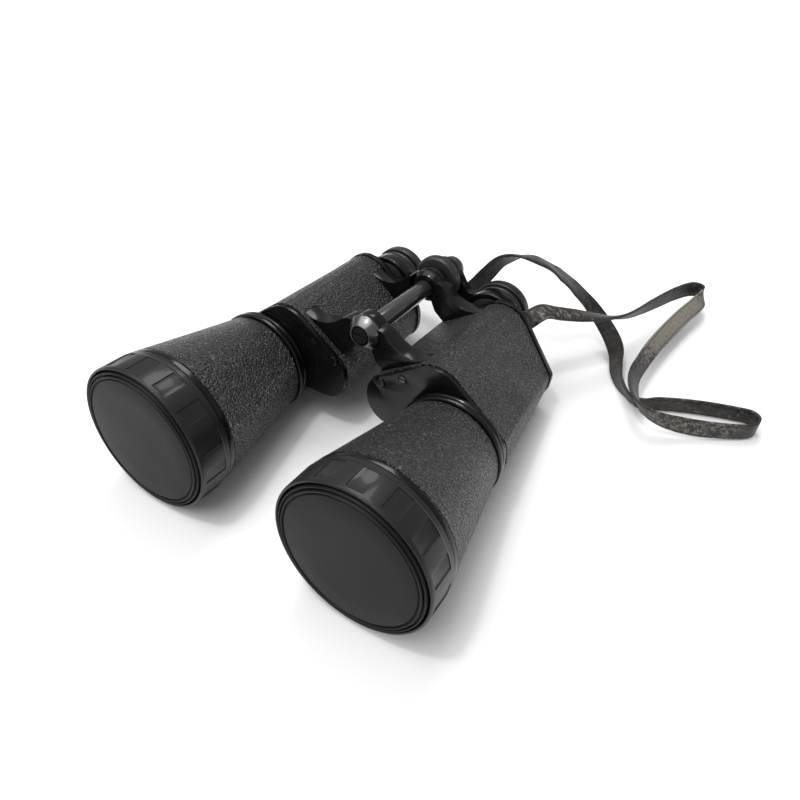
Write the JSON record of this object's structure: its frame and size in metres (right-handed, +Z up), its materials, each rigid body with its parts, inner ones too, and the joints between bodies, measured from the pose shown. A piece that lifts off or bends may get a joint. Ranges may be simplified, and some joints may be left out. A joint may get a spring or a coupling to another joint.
{
  "type": "binoculars",
  "caption": "Porro-prism binoculars with a central hinge and focus wheel, push-in objective caps and a flat leather neck strap lying loose beside them.",
  "frame": {"origin": "centre of the footprint of the binoculars without their strap, on the surface that they stand on", "axes": "+Z up; +Y towards the eyepieces, 6.9 degrees above the optical axes, which slope down to the rear; +X to the left barrel"},
  "size_m": [0.2596, 0.2859, 0.0711],
  "materials": {
    "cap_plastic": "satin, dark grey",
    "gloss_paint": "gloss black enamel",
    "satin_paint": "satin black",
    "leatherette": "pebbled, semi-gloss black",
    "inner_black": "matt black",
    "optical_glass": "polished",
    "steel": "satin",
    "eyecup_plastic": "satin black",
    "strap_leather": "worn black leather with pale cracks"
  },
  "bodies": {
    "left_barrel": {"left_objective_ring": "gloss_paint", "left_lens_retaining_ring": "inner_black", "left_objective_lens": "optical_glass", "left_barrel_tube": "gloss_paint", "left_barrel_leather": "leatherette", "left_barrel_collar": "gloss_paint", "left_front_plate": "gloss_paint", "left_plate_screw": "steel", "left_plate_plug": "gloss_paint", "left_housing": "gloss_paint", "left_front_hinge_arm": "gloss_paint", "left_rear_hinge_arm": "gloss_paint", "left_housing_leather": "leatherette", "left_prism_shelf": "inner_black", "left_front_prism": "optical_glass", "left_rear_prism": "optical_glass", "left_rear_cover": "gloss_paint", "left_strap_lug": "gloss_paint", "hinge_axle": "steel", "hinge_tube": "satin_paint", "hinge_washer": "steel", "strap": "strap_leather"},
    "right_barrel": {"right_objective_ring": "gloss_paint", "right_lens_retaining_ring": "inner_black", "right_objective_lens": "optical_glass", "right_barrel_tube": "gloss_paint", "right_barrel_leather": "leatherette", "right_barrel_collar": "gloss_paint", "right_front_plate": "gloss_paint", "right_plate_screw": "steel", "right_plate_plug": "gloss_paint", "right_housing": "gloss_paint", "right_front_hinge_arm": "gloss_paint", "right_rear_hinge_arm": "gloss_paint", "right_housing_leather": "leatherette", "right_prism_shelf": "inner_black", "right_front_prism": "optical_glass", "right_rear_prism": "optical_glass", "right_rear_cover": "gloss_paint", "right_strap_lug": "gloss_paint", "hinge_cap_screw": "steel"},
    "focus_wheel": {"focus_wheel": "satin_paint", "focus_spindle": "steel"},
    "ocular_bridge": {"bridge_hub": "satin_paint", "left_ocular_arm": "satin_paint", "left_eyepiece_tube": "satin_paint", "left_eyepiece_collar": "satin_paint", "left_field_lens": "optical_glass", "left_eye_lens": "optical_glass", "left_eyecup": "eyecup_plastic"},
    "right_ocular": {"right_ocular_arm": "satin_paint"},
    "dioptre_ring": {"right_dioptre_ring": "satin_paint"},
    "right_eyepiece": {"right_eyepiece_tube": "satin_paint", "right_field_lens": "optical_glass", "right_eye_lens": "optical_glass", "right_eyecup": "eyecup_plastic"},
    "left_cap": {"left_objective_cap": "cap_plastic"},
    "right_cap": {"right_objective_cap": "cap_plastic"}
  },
  "joints": [
    {"name": "interpupillary_hinge", "type": "hinge", "parent": "left_barrel", "child": "right_barrel", "pos_m": [0, 0.03274, 0.05553], "axis": [0, 0.9927, -0.1207], "range_deg": [-18, 24], "deforming": ["strap"]},
    {"name": "focus_wheel_turn", "type": "hinge", "parent": "left_barrel", "child": "focus_wheel", "pos_m": [0, 0.07046, 0.05094], "axis": [0, 0.9927, -0.1207], "range_deg": [-18, 270]},
    {"name": "focus_travel", "type": "slide", "parent": "left_barrel", "child": "ocular_bridge", "axis": [0, 0.9927, -0.1207], "range_m": [-0.0004, 0.006]},
    {"name": "right_ocular_swing", "type": "hinge", "parent": "ocular_bridge", "child": "right_ocular", "pos_m": [0, 0.08038, 0.04974], "axis": [0, 0.9927, -0.1207], "range_deg": [-18, 24]},
    {"name": "dioptre_turn", "type": "hinge", "parent": "right_ocular", "child": "dioptre_ring", "pos_m": [-0.032, 0.07974, 0.03611], "axis": [0, 0.9927, -0.1207], "range_deg": [-60, 60]},
    {"name": "dioptre_travel", "type": "slide", "parent": "right_ocular", "child": "right_eyepiece", "axis": [0, 0.9927, -0.1207], "range_m": [-0.00055, 0.00055]},
    {"name": "left_cap_off", "type": "slide", "parent": "left_barrel", "child": "left_cap", "axis": [0, -0.9927, 0.1207], "range_m": [0, 0.03]},
    {"name": "right_cap_off", "type": "slide", "parent": "right_barrel", "child": "right_cap", "axis": [0, -0.9927, 0.1207], "range_m": [0, 0.03]}
  ],
  "couplings": [
    {"joint": "focus_wheel_turn", "follows": "focus_travel", "rad_per_m": 785.4},
    {"joint": "right_ocular_swing", "follows": "interpupillary_hinge", "ratio": 1},
    {"joint": "dioptre_travel", "follows": "dioptre_turn", "m_per_rad": 0.00047746}
  ]
}
